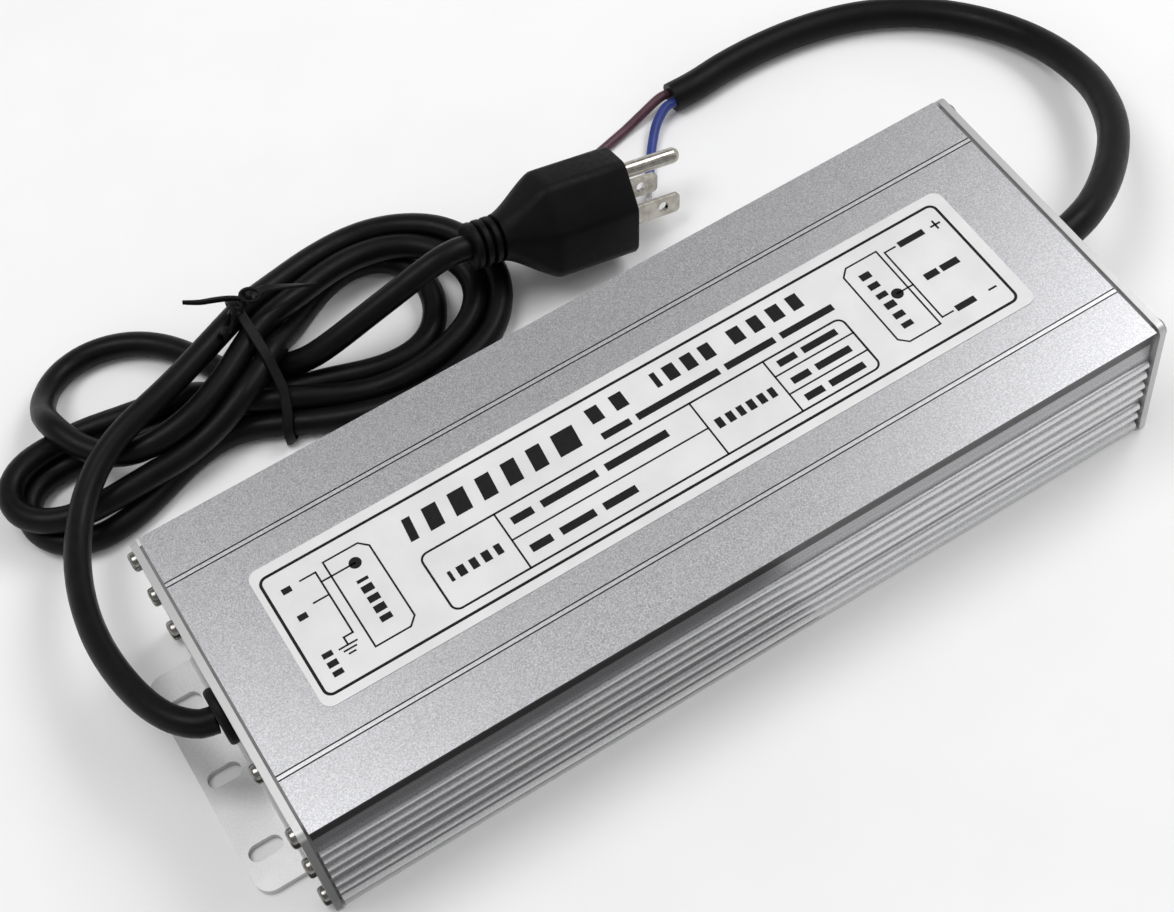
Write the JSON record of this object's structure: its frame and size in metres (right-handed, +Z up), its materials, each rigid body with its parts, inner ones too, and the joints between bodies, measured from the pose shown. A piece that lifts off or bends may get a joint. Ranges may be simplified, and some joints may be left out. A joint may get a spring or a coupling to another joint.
{
  "type": "led driver",
  "caption": "Potted LED driver in a ribbed aluminium case with slotted mounting feet, a tied mains lead with a moulded plug and a low-voltage lead with bare cores.",
  "frame": {"origin": "on the mounting plane, under the middle of the case", "axes": "+X along the case from the mains end to the low-voltage end, +Y to the side where the cords lie, +Z up from the mounting plane"},
  "size_m": [0.3467, 0.1971, 0.0471],
  "materials": {
    "anodised_case": "bead-blasted silver anodise",
    "plate_aluminium": "satin sheet",
    "nickel": "nickel plate",
    "black_rubber": "matte",
    "grey_rubber": "matte",
    "label_film": "satin film",
    "cord_sheath": "satin",
    "plug_plastic": "satin",
    "tie_plastic": "satin",
    "brown_core": "satin",
    "blue_core": "satin",
    "tinned_copper": "bright",
    "board_laminate": "satin",
    "insulator": "matte",
    "potting": "matte",
    "nylon": "matte",
    "ceramic": "glazed",
    "blue_epoxy": "gloss",
    "dark_epoxy": "gloss",
    "yellow_plastic": "gloss",
    "ferrite": "matte",
    "iron_powder": "matte",
    "copper_wire": "enamelled",
    "yellow_tape": "satin",
    "capacitor_sleeve": "gloss",
    "bar_aluminium": "mill finish",
    "gap_pad": "matte",
    "chip_epoxy": "matte",
    "white_epoxy": "matte"
  },
  "bodies": {
    "root": {"case_extrusion": "anodised_case", "input_end_plate": "plate_aluminium", "output_end_plate": "plate_aluminium", "input_gasket": "grey_rubber", "output_gasket": "grey_rubber", "input_end_screws": "nickel", "output_end_screws": "nickel", "input_grommet": "black_rubber", "output_grommet": "black_rubber", "rating_label": "label_film", "insulating_sheet": "insulator", "potting_compound": "potting", "board_spacers": "nylon", "circuit_board": "board_laminate", "mains_fuse": "ceramic", "surge_varistor": "blue_epoxy", "inrush_thermistor": "dark_epoxy", "line_capacitor": "yellow_plastic", "choke_core": "ferrite", "choke_windings": "copper_wire", "bridge_rectifier": "chip_epoxy", "bulk_capacitors": "capacitor_sleeve", "primary_heat_bar": "bar_aluminium", "secondary_heat_bar": "bar_aluminium", "thermal_pads": "gap_pad", "switching_transistors": "chip_epoxy", "output_rectifiers": "chip_epoxy", "transformer_core": "ferrite", "transformer_winding": "yellow_tape", "inductor_core": "iron_powder", "inductor_winding": "copper_wire", "output_capacitors": "capacitor_sleeve", "control_chip": "chip_epoxy", "optocoupler": "white_epoxy", "input_inner_lead": "cord_sheath", "output_inner_lead": "cord_sheath", "mains_wires": "brown_core", "output_wires": "blue_core", "input_cord": "cord_sheath", "input_cord_hank": "cord_sheath", "cord_tie": "tie_plastic", "plug_cord": "cord_sheath", "plug_body": "plug_plastic", "line_blade": "nickel", "neutral_blade": "nickel", "ground_pin": "nickel", "output_cord": "cord_sheath", "brown_lead": "brown_core", "blue_lead": "blue_core", "brown_lead_tip": "tinned_copper", "blue_lead_tip": "tinned_copper"}
  },
  "joints": []
}
